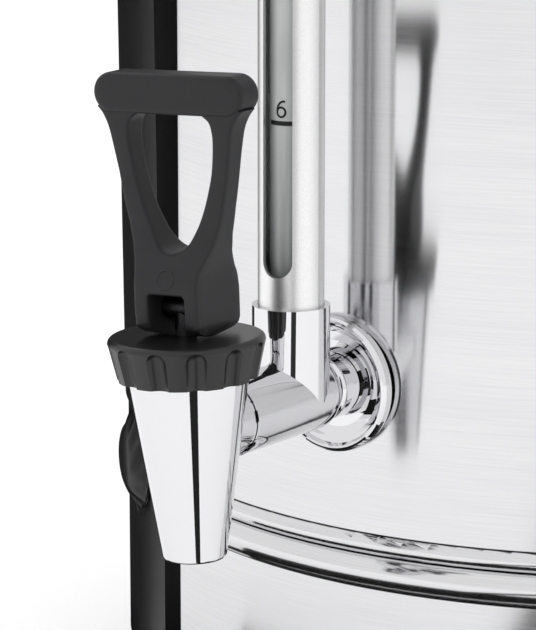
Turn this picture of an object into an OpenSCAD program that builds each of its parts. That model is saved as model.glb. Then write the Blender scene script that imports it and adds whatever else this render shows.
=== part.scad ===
// Catering coffee urn: a 15 litre percolator with a sight gauge and a lever tap.
// Millimetres, +Z up. The origin is on the table under the middle of the tank, and the tap faces -Y.

/* [Tank] */
// Outer diameter of the tank
body_d = 302; // [298:1:308]
// Thickness of the tank's and the base's sheet
sheet = 1.2; // [1:0.1:1.4]
// Height of the tank's rim above the table
rim_z = 430; // [425:1:450]
// Height of the tank floor's upper face above the table
floor_z = 111; // [109:0.5:111.5]
// Height of the crease over the double bead
bead_z = 84; // [83:0.5:85]
// Height of the bead's upper roll
roll_upper_h = 6.3; // [5.5:0.1:7]
// How far the upper roll stands out
roll_upper_t = 2; // [1.6:0.1:2.4]
// Height of the bead's lower roll
roll_lower_h = 10.4; // [9:0.1:11]
// How far the lower roll stands out
roll_lower_t = 3.2; // [2.8:0.1:3.4]
// Radius of the rolled edge at the tank's rim
rim_r = 3; // [2.5:0.25:3.5]
// Depth of the flange that welds the floor into the tank
weld_flange_h = 14; // [10:1:16]
// Radius of the heating well in the floor
well_r = 34; // [32:1:38]
// Depth of the heating well
well_depth = 8; // [6:1:9]

/* [Base] */
// Height of the moulded base ring's seat, which the skirt stands on
seat_z = 12; // [10:1:14]
// How far the base ring's lip rises round the skirt
lip_h = 5; // [3:1:7]
// Thickness of the lip
lip_t = 2.2; // [2:0.1:3]
// Width of the base ring's foot
foot_w = 16; // [14:1:18]
// Distance from the skirt's outside to the base screws' axes
base_screw_in = 9; // [8.5:0.25:9.5]
// Number of base screws
base_screw_n = 4; // [3:1:6]

/* [Tap] */
// Height of the tap's pipe above the table
tap_z = 128.3; // [127:0.1:130]
// Distance from the gauge's axis to the tap's own axis
tap_out = 47; // [46:0.5:50]
// How far the tap has turned on its pipe, in degrees
tap_lean = 2.4; // [0:0.2:4]
// Outer radius of the pipe's barrel
barrel_r = 11.1; // [10.6:0.1:11.2]
// Bore radius of the pipe
pipe_bore_r = 4.5; // [4:0.25:5]
// Radius of the pipe's neck and of its thread through the wall
shank_r = 9; // [8.5:0.25:9.25]
// Outer radius of the wall plate round the pipe
dish_r = 20.3; // [19:0.1:21]
// Radius of the pipe's hub in front of the wall plate
hub_ring_r = 9.9; // [9.6:0.1:10.4]
// Outer radius of the spout where the collar sits on it
spout_top_r = 16.9; // [16.4:0.1:17.2]
// Outer radius of the spout's lower end
spout_end_r = 8.8; // [8.5:0.1:9.2]
// Radius of the bore that the coffee leaves by
outlet_r = 6.5; // [6:0.1:6.8]
// Height of the spout from its mouth to the collar
spout_h = 51; // [49:0.5:52]

/* [Collar and lever] */
// Height of the ribbed collar nut
collar_h = 12; // [11:0.5:13]
// Outer radius at the collar's top
collar_top_r = 21.8; // [21:0.2:22.6]
// Outer radius at the collar's foot
collar_foot_r = 19.4; // [19:0.2:20]
// Number of grooves round the collar
groove_n = 12; // [10:1:14]
// Turn of the lever about the tap's axis, in degrees
lever_yaw = 6; // [0:1:10]
// Height of the lever
lever_h = 71; // [69:1:73]
// Width of the lever's top bar
lever_w = 51.5; // [50:0.5:53]
// Height of the lever's top bar
bar_h = 11; // [10:0.5:12]
// Thickness of the lever's loop
loop_t = 7.7; // [7:0.1:8.4]
// Width of the lever's block
block_w = 20.8; // [20:0.2:21.6]
// Depth of the lever's block
block_d = 19.2; // [18:0.2:20]
// Height of the lever's block
block_h = 20; // [19:0.5:21]
// Width of the fork over the stem
fork_w = 12.2; // [12:0.1:13]
// Radius of the lever's pivot pin
pin_r = 1.5; // [1.4:0.1:1.6]
// Radius of the tap's stem
stem_r = 3; // [2.8:0.1:3.2]

/* [Gauge] */
// Distance from the tank's wall to the gauge's axis
gauge_out = 23; // [22:0.5:25]
// Outer radius of the gauge's metal sleeve
sleeve_r = 9.5; // [9.3:0.1:9.7]
// Wall of the gauge's sleeve
sleeve_t = 1.3; // [1:0.1:1.5]
// Outer radius of the gauge's glass
glass_r = 6.2; // [6:0.1:6.5]
// Wall of the gauge's glass
glass_t = 1.2; // [1:0.1:1.4]
// Outer radius of the socket that holds the sleeve
socket_r = 11.2; // [11.2:0.1:11.6]
// Height of the socket's rim above the pipe
socket_h = 27.5; // [26:0.5:29]
// Width of the slot in the sleeve
slot_w = 9.2; // [8.6:0.1:9.6]
// Turn of the slot about the gauge's axis, in degrees
slot_yaw = 9; // [0:1:12]
// Height of the slot's foot above the socket's rim
slot_gap = 9; // [8:0.5:12]
// Height of the gauge's cap above the table
gauge_top_z = 382; // [370:1:390]

/* [Control column] */
// Angle from the tap round to the control column, in degrees
column_az = 39; // [38:0.5:42]
// Half the column's width, in degrees round the tank
column_half = 9.8; // [9:0.1:10.4]
// How far the column's lower part stands off the tank
column_low_t = 5.6; // [5.6:0.1:6.2]
// How far the column's upper part stands off the tank at its foot
column_high_t = 6.5; // [6.4:0.1:7.5]
// Outward lean of the column's upper part, in degrees
column_flare = 0.59; // [0.4:0.01:0.8]
// Height of the thermostat's shaft above the table
knob_z = 83.4; // [83:0.1:84]
// Radius of the thermostat knob's skirt
knob_r = 18; // [17:0.5:19]
// Radius of the thermostat knob's face
knob_face_r = 12.5; // [12:0.5:13.5]
// Height of the thermostat knob
knob_h = 6.5; // [6:0.25:8]
// Radius of the thermostat's shaft
knob_shaft_r = 3; // [2.8:0.1:3.2]
// Radius of a pilot lamp's lens
lamp_r = 4; // [3.5:0.25:4.5]

/* [Handles] */
// Distance between the two legs of a carrying handle
handle_span = 96; // [90:1:104]
// Distance from the tank's wall to the grip's centre line
handle_reach = 44; // [42:1:48]
// Radius of the grip
grip_r = 8.5; // [8:0.25:9]
// Height of the handles above the table
handle_z = 372; // [360:1:378]

/* [Percolator] */
// Outer radius of the coffee basket
basket_r = 90; // [86:1:94]
// Height of the coffee basket
basket_h = 78; // [74:1:80]
// Thickness of the basket's sheet
basket_t = 1; // [0.9:0.1:1.2]
// Outer radius of the pump's riser tube
riser_r = 5; // [4.8:0.1:5.4]
// Height of the pump's bell foot
bell_h = 16; // [14:1:18]

/* [Lid] */
// Height of the lid's dome above the rim
dome_h = 26; // [22:1:30]
// Depth of the lid's inner flange
lid_flange_h = 7; // [6:0.5:8]
// Radius of the lid's knob
lid_knob_r = 21; // [19:0.5:23]
// Height of the lid's knob
lid_knob_h = 30; // [28:1:34]

/* [Clearances] */
// Gap between pieces that are fixed to each other on a curved face
fit = 0.2; // [0.15:0.05:0.25]
// Gap between pieces that move on each other
run_gap = 0.3; // [0.25:0.05:0.35]

/* [Hidden] */

$fn = 96;
eps = 0.01;
cut = 50;               // how far a cutting tool runs past what it cuts
body_r = body_d / 2;
inner_r = body_r - sheet;
gauge_r = body_r + gauge_out;
tap_r = gauge_r + tap_out;
seam_z = bead_z - roll_upper_h;
lower_roll_z = seam_z - roll_lower_h;

// The base
skirt_inner_r = body_r - sheet;
base_screw_r = body_r - base_screw_in;
vent_r = body_r - 73;
spigot_r = inner_r - fit;
spigot_h = 6;
lug_t = 2;
lug_w = 18;
gland_z = 46;
gland_r = 9;
cord_r = 4.2;
base_screw_shank_r = 2;
base_screw_head_r = 3.8;
screw_head_h = 2.6;
vent_n = 12;

// The heater under the well
heater_top_z = floor_z - well_depth - sheet;
heater_t = 5;
heater_r = 48;
element_ring_r = 36;
element_r = 3.4;
element_gap = 60;       // degrees left open in the element's ring
element_leg = 14;

// The tap, measured from the pipe's axis
spout_top_z = socket_h - collar_h - 0.5;
collar_top_z = spout_top_z + collar_h;
spout_end_z = spout_top_z - spout_h;
valve_seat_z = -11;
chamber_r = 11.5;
neck_r = 15;
neck_h = collar_h - 4;
collar_roof_z = collar_top_z - 3.5;
pin_z = collar_top_z + run_gap + 7.4;
eye_r = stem_r + 0.2;
foot_round_r = 16;
shoulder_r = 7.5;
shoulder_z = -1;
barrel_back = gauge_r - socket_r;
barrel_front = tap_r - spout_top_r - 0.1;
nipple_r = 6.8;
spring_turns = 5;
spring_steps = 12;
spring_sides = 6;
spring_coil_r = 5.6;
spring_wire_r = 0.7;
loop_mid = -1.05;       // where the middle of the loop's thickness lies, front to back

// The gauge
glass_foot_z = tap_z + 7;
sleeve_foot_z = tap_z + 14;
socket_top_z = tap_z + socket_h;
slot_foot_z = socket_top_z + slot_gap;
slot_top_z = gauge_top_z - 14;
bracket_z = gauge_top_z - 9;

// The control column
column_foot_z = seat_z + lip_h + 1;
column_step_z = knob_z + 15;
column_top_z = rim_z - 10;
knob_seat = body_r + column_low_t - 0.6;
knob_socket_h = 4;
shaft_foot = spigot_r - sheet - 0.6;
lamp_zs = [column_top_z - 62, column_top_z - 46];

// The percolator
riser_top_z = rim_z - 2;
basket_foot_z = rim_z - 10 - basket_h;
riser_foot_z = floor_z - well_depth + 4;
hub_r = riser_r + run_gap + 1.4;
spreader_hole_r = riser_r + 3;
lid_knob_seat = rim_z + dome_h + 0.3;

// ---- shared shapes ----

module ring(outer, inner, low, high) {
    translate([0, 0, low]) difference() {
        cylinder(r = outer, h = high - low);
        translate([0, 0, -eps]) cylinder(r = inner, h = high - low + 2 * eps);
    }
}

// Local +Z runs outward along -Y at a height, turned round the tank by an angle
module outward(z, az = 0) {
    rotate([0, 0, -az]) translate([0, 0, z]) rotate([90, 0, 0]) children();
}

// The tap's own frame: its Z axis is the tap's axis, and Z = 0 is the pipe's axis
module tap_frame() {
    translate([0, 0, tap_z]) rotate([0, -tap_lean, 0]) translate([0, -tap_r, 0]) children();
}

// The lever's own frame: the pin runs along X at the origin
module lever_frame() {
    tap_frame() translate([0, 0, pin_z]) rotate([0, 0, lever_yaw]) children();
}

// A profile of radius and height, swept round the tank either side of -Y
module wrap(half) {
    rotate([0, 0, -90 - half]) rotate_extrude(angle = 2 * half, $fn = 180) children();
}

// A straight stadium, along X
module stadium(length, radius) {
    square([length - 2 * radius, 2 * radius], center = true);
    for (side = [-1, 1]) translate([side * (length / 2 - radius), 0]) circle(r = radius);
}

// Half a bead's section, hanging from a height: it stands out from the wall by its depth
module roll(top, height, depth, inner) {
    arc = (pow(height / 2, 2) + pow(depth, 2)) / (2 * depth);
    intersection() {
        translate([body_r + depth - arc, top - height / 2]) circle(r = arc, $fn = 80);
        translate([inner, top - height]) square([cut, height]);
    }
}

module pan_screw(shank_r, shank_l, head_r, head_h) {
    cylinder(r = head_r, h = head_h);
    translate([0, 0, head_h]) cylinder(r = shank_r, h = shank_l);
}

// ---- tank and base ----

module body_shell() {
    color("silver") difference() {
        union() {
            ring(body_r, inner_r, seam_z, rim_z - rim_r);
            // the bead's upper roll
            rotate_extrude($fn = 180) roll(bead_z, roll_upper_h, roll_upper_t, inner_r);
            // the rolled rim
            rotate_extrude($fn = 180) translate([inner_r + rim_r, rim_z - rim_r]) circle(r = rim_r, $fn = 40);
        }
        outward(tap_z) cylinder(r = shank_r + fit, h = body_r + cut);
        outward(knob_z, column_az) cylinder(r = knob_shaft_r + run_gap, h = body_r + cut);
        for (side = [-1, 1], y = [-1, 1]) handle_hole(side, y, 2.2);
        outward(column_top_z - 16, column_az) cylinder(r = 2.2, h = body_r + cut);
        outward(bracket_z) cylinder(r = 2.2, h = body_r + cut);
    }
}

module tank_floor() {
    floor_r = inner_r - 0.1;
    color("gainsboro") difference() {
        union() {
            translate([0, 0, floor_z - sheet]) cylinder(r = floor_r, h = sheet, $fn = 180);
            ring(floor_r, floor_r - sheet, floor_z - weld_flange_h, floor_z - sheet / 2);
            translate([0, 0, floor_z - well_depth - sheet]) cylinder(r = well_r + sheet, h = well_depth);
        }
        translate([0, 0, floor_z - well_depth]) cylinder(r = well_r, h = well_depth + 1);
    }
}

module base_skirt() {
    color("silver") difference() {
        union() {
            ring(body_r, skirt_inner_r, seat_z, seam_z);
            rotate_extrude($fn = 180) roll(seam_z, roll_lower_h, roll_lower_t, skirt_inner_r);
            // the joggle and the spigot that locate the tank
            ring(body_r - sheet / 2, spigot_r - sheet, seam_z - 2 * sheet, seam_z);
            ring(spigot_r, spigot_r - sheet, seam_z - sheet, seam_z + spigot_h);
            for (i = [0 : base_screw_n - 1]) rotate([0, 0, 45 + 360 / base_screw_n * i])
                intersection() {
                    translate([base_screw_r - 6, -lug_w / 2, seat_z + sheet]) cube([cut, lug_w, lug_t]);
                    cylinder(r = body_r - sheet / 2, h = seam_z);
                }
        }
        for (i = [0 : base_screw_n - 1]) rotate([0, 0, 45 + 360 / base_screw_n * i])
            translate([base_screw_r, 0, 0]) cylinder(r = base_screw_shank_r + 0.1, h = seam_z / 2, $fn = 24);
        outward(knob_z, column_az) cylinder(r = knob_shaft_r + run_gap, h = body_r + cut);
        outward(gland_z, 180) cylinder(r = gland_r + fit, h = body_r + cut);
        outward(column_foot_z + 12, column_az) cylinder(r = 2.2, h = body_r + cut);
    }
}

module base_ring() {
    foot_inner_r = body_r - foot_w;
    color("#202022") difference() {
        rotate_extrude($fn = 180) polygon([
            [foot_inner_r, 0], [body_r + lip_t - 2, 0], [body_r + lip_t + fit, 2],
            [body_r + lip_t + fit, seat_z + lip_h - 1], [body_r + lip_t + fit - 1, seat_z + lip_h],
            [body_r + fit, seat_z + lip_h], [body_r + fit, seat_z], [foot_inner_r, seat_z]]);
        for (i = [0 : base_screw_n - 1]) rotate([0, 0, 45 + 360 / base_screw_n * i])
            translate([base_screw_r, 0, -eps]) {
                cylinder(r = base_screw_shank_r + 0.1, h = seat_z + 1, $fn = 24);
                cylinder(r = base_screw_head_r + 0.6, h = seat_z - 5 + 2 * eps, $fn = 32);
            }
    }
}

module base_plate() {
    color("darkgray") translate([0, 0, seat_z]) difference() {
        cylinder(r = skirt_inner_r - 1, h = sheet, $fn = 180);
        for (i = [0 : base_screw_n - 1]) rotate([0, 0, 45 + 360 / base_screw_n * i])
            translate([base_screw_r, 0, -eps]) cylinder(r = base_screw_shank_r + 0.1, h = 5, $fn = 24);
        // vent slots
        for (i = [0 : vent_n - 1]) rotate([0, 0, 360 / vent_n * i]) translate([vent_r, 0, -eps])
            linear_extrude(5) stadium(34, 2.5, $fn = 24);
    }
}

module base_screws() {
    color("dimgray") for (i = [0 : base_screw_n - 1]) rotate([0, 0, 45 + 360 / base_screw_n * i])
        translate([base_screw_r, 0, seat_z - 5 - screw_head_h])
            pan_screw(base_screw_shank_r, 5 + sheet + lug_t + 2, base_screw_head_r, screw_head_h, $fn = 24);
}

// ---- heater and wiring ----

module heater_plate() {
    color("lightgray") translate([0, 0, heater_top_z - heater_t]) cylinder(r = heater_r, h = heater_t);
}

module heating_element() {
    ring_z = heater_top_z - heater_t - element_r;
    color("dimgray") translate([0, 0, ring_z]) {
        rotate([0, 0, element_gap / 2]) rotate_extrude(angle = 360 - element_gap)
            translate([element_ring_r, 0]) circle(r = element_r, $fn = 32);
        for (side = [-1, 1]) rotate([0, 0, side * element_gap / 2]) translate([element_ring_r, 0, 0]) {
            sphere(r = element_r, $fn = 32);
            translate([0, 0, -element_leg]) cylinder(r = element_r, h = element_leg, $fn = 32);
            translate([-0.4, -3.15, -element_leg - 8]) cube([0.8, 6.3, 8 + eps]);
        }
    }
}

module boil_dry_cutout() {
    top = heater_top_z - heater_t;
    color("#2b2b2b") translate([0, 0, top - 9]) {
        cylinder(r = 8, h = 9);
        for (side = [-1, 1]) translate([side * 4 - 3.15, -0.4, -7]) cube([6.3, 0.8, 7 + eps]);
    }
}

// The thermostat hangs on the skirt behind the control column
module thermostat() {
    back = shaft_foot - run_gap;
    color("#3a3a3c") outward(knob_z, column_az) {
        translate([-15, -11, back - 2]) cube([30, 22, 2]);
        translate([0, 0, back - 22]) cylinder(r = 10.5, h = 20 + eps);
        for (side = [-1, 1]) translate([side * 5 - 3.15, -0.4, back - 29]) cube([6.3, 0.8, 7 + eps]);
    }
}

module terminal_block() {
    color("ivory") translate([40, 55, seat_z + sheet]) difference() {
        cube([44, 18, 15]);
        for (i = [0 : 3]) translate([6.5 + i * 10.3, 9, 5]) cylinder(r = 2.6, h = 20, $fn = 24);
    }
}

// The cord's bushing at the back of the skirt
module cord_gland() {
    color("#222222") outward(gland_z, 180) difference() {
        union() {
            translate([0, 0, body_r - 8]) cylinder(r = gland_r, h = 12);
            translate([0, 0, body_r + 0.4]) cylinder(r = gland_r + 3, h = 4);
            translate([0, 0, body_r + 4.4 - eps]) cylinder(r1 = gland_r, r2 = gland_r - 2, h = 12);
            translate([0, 0, body_r - 8]) cylinder(r = gland_r + 2.5, h = 4);
        }
        translate([0, 0, body_r - 10]) cylinder(r = cord_r, h = 40, $fn = 48);
    }
}

// ---- control column ----

module control_column() {
    top_round = 8;
    high_r = body_r + column_high_t;
    top_r = high_r + (column_top_z - column_step_z) * tan(column_flare);
    bead_gap = 0.5;
    cover_t = 3;
    color("#1d1d1f") rotate([0, 0, -column_az]) difference() {
        wrap(column_half) polygon(concat(
            [[body_r + fit, column_foot_z], [body_r + column_low_t, column_foot_z],
                [body_r + column_low_t, column_step_z], [high_r, column_step_z]],
            [for (a = [0 : 15 : 90])
                [top_r - top_round + top_round * cos(a), column_top_z - top_round + top_round * sin(a)]],
            [[body_r + fit, column_top_z], [body_r + fit, bead_z + bead_gap],
                [body_r + roll_upper_t + bead_gap, bead_z + bead_gap],
                [body_r + roll_lower_t + bead_gap, seam_z],
                [body_r + roll_lower_t + bead_gap, lower_roll_z - bead_gap],
                [body_r + fit, lower_roll_z - bead_gap]]));
        // the hollow behind the cover, for the wiring
        wrap(column_half - 1) translate([body_r - 1, knob_z + 24])
            square([column_high_t - cover_t + 1, column_top_z - knob_z - 54]);
        outward(knob_z) cylinder(r = knob_shaft_r + run_gap, h = body_r + cut);
        outward(knob_z) translate([0, 0, knob_seat]) cylinder(r = knob_r + 1, h = cut);
        for (z = lamp_zs) outward(z) cylinder(r = lamp_r + 0.1, h = body_r + cut, $fn = 48);
        for (z = [column_foot_z + 12, column_top_z - 16])
            outward(z) cylinder(r = 1.65, h = body_r + 5, $fn = 24);
    }
}

module column_screws() {
    color("dimgray") {
        outward(column_foot_z + 12, column_az) translate([0, 0, inner_r - 0.5 - screw_head_h])
            pan_screw(1.6, 5, 3.4, screw_head_h, $fn = 24);
        outward(column_top_z - 16, column_az) translate([0, 0, inner_r - 0.5 - screw_head_h])
            pan_screw(1.6, 5, 3.4, screw_head_h, $fn = 24);
    }
}

module pilot_lamps() {
    color("orangered") for (z = lamp_zs) {
        face = body_r + column_high_t + (z - column_step_z) * tan(column_flare);
        outward(z, column_az) {
            translate([0, 0, body_r + 1]) cylinder(r = lamp_r, h = face - body_r - 1, $fn = 48);
            translate([0, 0, face - 0.2]) intersection() {
                translate([0, 0, -lamp_r]) sphere(r = lamp_r * 1.45, $fn = 48);
                cylinder(r = lamp_r, h = 6, $fn = 48);
            }
        }
    }
}

module thermostat_shaft() {
    color("gainsboro") outward(knob_z, column_az)
        translate([0, 0, shaft_foot]) cylinder(r = knob_shaft_r, h = knob_seat + run_gap + knob_socket_h - 0.1 - shaft_foot);
}

module thermostat_knob() {
    seat = knob_seat + run_gap;
    skirt_h = 2;
    color("#1b1b1d") outward(knob_z, column_az) translate([0, 0, seat]) difference() {
        rotate_extrude() polygon([[0, 0], [knob_r, 0], [knob_r, skirt_h - 0.6], [knob_r - 0.6, skirt_h],
            [knob_r - 2.5, skirt_h], [knob_face_r + 0.5, knob_h - 1.5], [knob_face_r - 1, knob_h], [0, knob_h]]);
        // the finger hollows beside the grip, and the socket on the shaft
        for (side = [-1, 1]) translate([side * (knob_face_r + 0.5), 0, knob_h + 5])
            rotate([90, 0, 0]) cylinder(r = 9, h = 4 * knob_r, center = true);
        translate([0, 0, -1]) cylinder(r = knob_shaft_r + 0.02, h = 1 + knob_socket_h);
    }
}

// ---- carrying handles ----

module handle_hole(side, y, radius) {
    translate([0, y * handle_span / 2, handle_z]) rotate([0, side * 90, 0])
        cylinder(r = radius, h = body_r + cut, $fn = 24);
}

module handle(side) {
    bend = 20;
    grip_x = body_r + handle_reach;
    color("#222224") difference() {
        scale([side, 1, 1]) translate([0, 0, handle_z]) {
            translate([grip_x, handle_span / 2 - bend, 0]) rotate([90, 0, 0])
                cylinder(r = grip_r, h = handle_span - 2 * bend);
            for (y = [-1, 1]) scale([1, y, 1]) {
                translate([grip_x - bend, handle_span / 2 - bend, 0])
                    rotate_extrude(angle = 90) translate([bend, 0]) circle(r = grip_r, $fn = 48);
                translate([0, handle_span / 2, 0]) rotate([0, 90, 0]) {
                    translate([0, 0, body_r - 12]) cylinder(r = grip_r, h = handle_reach - bend + 12);
                    translate([0, 0, body_r - 12]) cylinder(r = grip_r + 4, h = 16);
                    translate([0, 0, body_r + 4 - eps]) cylinder(r1 = grip_r + 4, r2 = grip_r, h = 6);
                }
            }
        }
        cylinder(r = body_r + fit, h = rim_z + cut, $fn = 180);
        for (y = [-1, 1]) translate([0, y * handle_span / 2, handle_z]) rotate([0, side * 90, 0])
            cylinder(r = 2.05, h = body_r + 14, $fn = 24);
    }
}

module handle_left() handle(-1);
module handle_right() handle(1);

module handle_screws() {
    wall_x = sqrt(pow(inner_r, 2) - pow(handle_span / 2 + 6, 2));
    color("silver") for (side = [-1, 1], y = [-1, 1])
        translate([side * (wall_x - screw_head_h - 0.2), y * handle_span / 2, handle_z]) rotate([0, side * 90, 0])
            pan_screw(2, 16, 5, screw_head_h, $fn = 32);
}

// ---- pipe, wall plate and gauge ----

module escutcheon() {
    depth = 4.6;
    color("gainsboro") outward(tap_z) translate([0, 0, body_r + 0.1]) rotate_extrude()
        polygon([[shank_r + fit, 0], [dish_r - 1.2, 0], [dish_r - 0.3, 0.9], [dish_r, 2.2], [dish_r - 0.3, 3.5],
            [dish_r - 0.9, depth - 0.3], [dish_r - 1.5, depth], [dish_r - 2, depth - 0.3], [dish_r - 2.8, 3.2],
            [dish_r - 4.6, 2.1], [dish_r - 7.4, 1.4], [shank_r + fit, 1.2]]);
}

module gauge_tee() {
    end_round = 3;
    hub_low = body_r + 4;
    hub_high = barrel_back - 1;
    hub_round = 2;
    color("gainsboro") difference() {
        union() {
            // the barrel along the pipe, round at its back end
            outward(tap_z) {
                translate([0, 0, barrel_back + end_round])
                    cylinder(r = barrel_r, h = barrel_front - barrel_back - end_round);
                rotate_extrude() {
                    translate([barrel_r - end_round, barrel_back + end_round]) circle(r = end_round, $fn = 40);
                    translate([0, barrel_back]) square([barrel_r - end_round, end_round * 2]);
                    // the hub
                    translate([hub_ring_r - hub_round, hub_high - hub_round]) circle(r = hub_round, $fn = 40);
                    translate([0, hub_low]) square([hub_ring_r, hub_high - hub_round - hub_low]);
                    translate([0, hub_high - 2 * hub_round]) square([hub_ring_r - hub_round, 2 * hub_round]);
                }
                // the neck and the thread through the wall
                translate([0, 0, inner_r - 20]) cylinder(r = shank_r, h = barrel_back - inner_r + 20 + 1);
            }
            translate([0, -gauge_r, tap_z]) cylinder(r = socket_r, h = socket_h);
        }
        outward(tap_z) translate([0, 0, inner_r - 25]) cylinder(r = pipe_bore_r, h = tap_r);
        outward(tap_z) translate([0, 0, barrel_front - 12]) cylinder(r = nipple_r + fit, h = 40);
        translate([0, -gauge_r, tap_z]) cylinder(r = glass_r - glass_t, h = cut);
        translate([0, -gauge_r, glass_foot_z - run_gap]) cylinder(r = glass_r + 2 + fit, h = cut);
        translate([0, -gauge_r, sleeve_foot_z]) cylinder(r = sleeve_r + 0.1, h = cut);
    }
}

module wall_washers() {
    color("#c8c8c4") outward(tap_z) translate([0, 0, inner_r - 4.6])
        ring(15, shank_r + fit, 0, 3.7);
}

module shank_nut() {
    color("silver") outward(tap_z) translate([0, 0, inner_r - 4.6 - 8]) difference() {
        cylinder(r = 15.5, h = 8, $fn = 6);
        translate([0, 0, -1]) cylinder(r = shank_r + 0.05, h = 10);
    }
}

module gauge_seal() {
    color("#d8d4cc") translate([0, -gauge_r, 0])
        ring(glass_r + 2, glass_r + 0.05, glass_foot_z, sleeve_foot_z - 0.2);
}

module gauge_glass() {
    color("lightcyan") translate([0, -gauge_r, 0]) ring(glass_r, glass_r - glass_t, glass_foot_z, gauge_top_z - 6);
}

module gauge_sleeve() {
    color("silver") translate([0, -gauge_r, 0]) difference() {
        ring(sleeve_r, sleeve_r - sleeve_t, sleeve_foot_z + 0.1, gauge_top_z - 4);
        rotate([0, 0, slot_yaw]) translate([0, 0, slot_foot_z + slot_w / 2]) rotate([90, 0, 0]) {
            cylinder(r = slot_w / 2, h = cut);
            translate([-slot_w / 2, 0, 0]) cube([slot_w, slot_top_z - slot_foot_z - slot_w, cut]);
            translate([0, slot_top_z - slot_foot_z - slot_w, 0]) cylinder(r = slot_w / 2, h = cut);
        }
    }
}

module gauge_cap() {
    color("gainsboro") translate([0, -gauge_r, 0]) difference() {
        union() {
            translate([0, 0, gauge_top_z - 3.9]) cylinder(r = sleeve_r + 1.2, h = 3.9);
            translate([0, 0, gauge_top_z - 10]) cylinder(r = sleeve_r - sleeve_t - 0.1, h = 7);
            translate([0, 0, gauge_top_z - eps]) cylinder(r1 = sleeve_r + 1.2, r2 = sleeve_r - 2, h = 2);
        }
        translate([0, 0, gauge_top_z - 11]) cylinder(r = glass_r + 0.1, h = 7);
        translate([0, 0, gauge_top_z - 12]) cylinder(r = 1, h = 20, $fn = 24);
    }
}

// The clip that steadies the top of the gauge on the tank, with its stud through the wall
module gauge_bracket() {
    color("gainsboro") difference() {
        union() {
            translate([0, -gauge_r, bracket_z - 5]) cylinder(r = sleeve_r + 2, h = 10);
            outward(bracket_z) {
                translate([0, 0, body_r + fit]) cylinder(r = 8, h = 2.5);
                translate([0, 0, body_r + fit]) cylinder(r = 3.6, h = gauge_r - body_r - sleeve_r - 0.9);
                translate([0, 0, inner_r - 6]) cylinder(r = 2, h = sheet + 9, $fn = 32);
            }
        }
        translate([0, -gauge_r, bracket_z - 6]) cylinder(r = sleeve_r + 0.1, h = 12);
    }
}

module bracket_nut() {
    color("silver") outward(bracket_z) translate([0, 0, inner_r - 3.3]) difference() {
        cylinder(r = 4, h = 3.2, $fn = 6);
        translate([0, 0, -1]) cylinder(r = 2.05, h = 6, $fn = 32);
    }
}

// ---- tap ----

function spout_r(z) = spout_end_r + (spout_top_r - spout_end_r) * (z - spout_end_z) / spout_h;

module tap_body() {
    lip = 1;
    boss_r = barrel_r - 0.6;
    color("gainsboro") tap_frame() difference() {
        union() {
            rotate_extrude() {
                polygon([[0, spout_end_z + lip], [spout_r(spout_end_z + lip), spout_end_z + lip],
                    [spout_top_r, spout_top_z], [neck_r, spout_top_z], [neck_r, spout_top_z + neck_h],
                    [0, spout_top_z + neck_h]]);
                translate([0, spout_end_z]) square([spout_end_r - lip, 2 * lip]);
                translate([spout_end_r - lip, spout_end_z + lip]) circle(r = lip, $fn = 32);
            }
            rotate([-90, 0, 0]) {
                cylinder(r = boss_r, h = tap_r - barrel_front - run_gap);
                cylinder(r = nipple_r, h = tap_r - barrel_front + 11);
            }
        }
        translate([0, 0, valve_seat_z]) cylinder(r = chamber_r, h = cut);
        translate([0, 0, spout_end_z - 1]) cylinder(r = outlet_r, h = cut);
        rotate([-90, 0, 0]) cylinder(r = pipe_bore_r, h = cut);
    }
}

module valve_stem() {
    color("silver") tap_frame() difference() {
        union() {
            translate([0, 0, valve_seat_z + 2]) cylinder(r = stem_r, h = pin_z - valve_seat_z - 2);
            translate([0, 0, shoulder_z - 2]) cylinder(r = shoulder_r, h = 2);
            translate([0, 0, pin_z]) rotate([0, 0, lever_yaw]) rotate([0, 90, 0])
                cylinder(r = eye_r, h = fork_w - 2 * run_gap, center = true);
        }
        translate([0, 0, pin_z]) rotate([0, 0, lever_yaw]) rotate([0, 90, 0])
            cylinder(r = pin_r + 0.05, h = cut, center = true, $fn = 32);
    }
}

module seat_cup() {
    color("#b9b4aa") tap_frame() difference() {
        translate([0, 0, valve_seat_z + 0.1]) cylinder(r = chamber_r - 2, h = shoulder_z - 2 - valve_seat_z - 0.15);
        translate([0, 0, valve_seat_z + 1.95]) cylinder(r = stem_r + 0.02, h = cut);
    }
}

// A compression spring between the stem's shoulder and the collar's roof, one unbroken tube
module valve_spring() {
    low = shoulder_z + spring_wire_r + 0.15;
    high = collar_roof_z - spring_wire_r - 0.15;
    count = spring_turns * spring_steps;
    points = [for (i = [0 : count], j = [0 : spring_sides - 1])
        let (turn = 360 * i / spring_steps, side = 360 * j / spring_sides,
            reach = spring_coil_r + spring_wire_r * cos(side))
        [reach * cos(turn), reach * sin(turn), low + (high - low) * i / count + spring_wire_r * sin(side)]];
    faces = concat(
        [[for (j = [0 : spring_sides - 1]) j]],
        [for (i = [0 : count - 1], j = [0 : spring_sides - 1])
            let (a = i * spring_sides + j, b = i * spring_sides + (j + 1) % spring_sides)
            [a, a + spring_sides, b]],
        [for (i = [0 : count - 1], j = [0 : spring_sides - 1])
            let (a = i * spring_sides + j, b = i * spring_sides + (j + 1) % spring_sides)
            [b, a + spring_sides, b + spring_sides]],
        [[for (j = [spring_sides - 1 : -1 : 0]) count * spring_sides + j]]);
    color("silver") tap_frame() polyhedron(points, faces);
}

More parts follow.
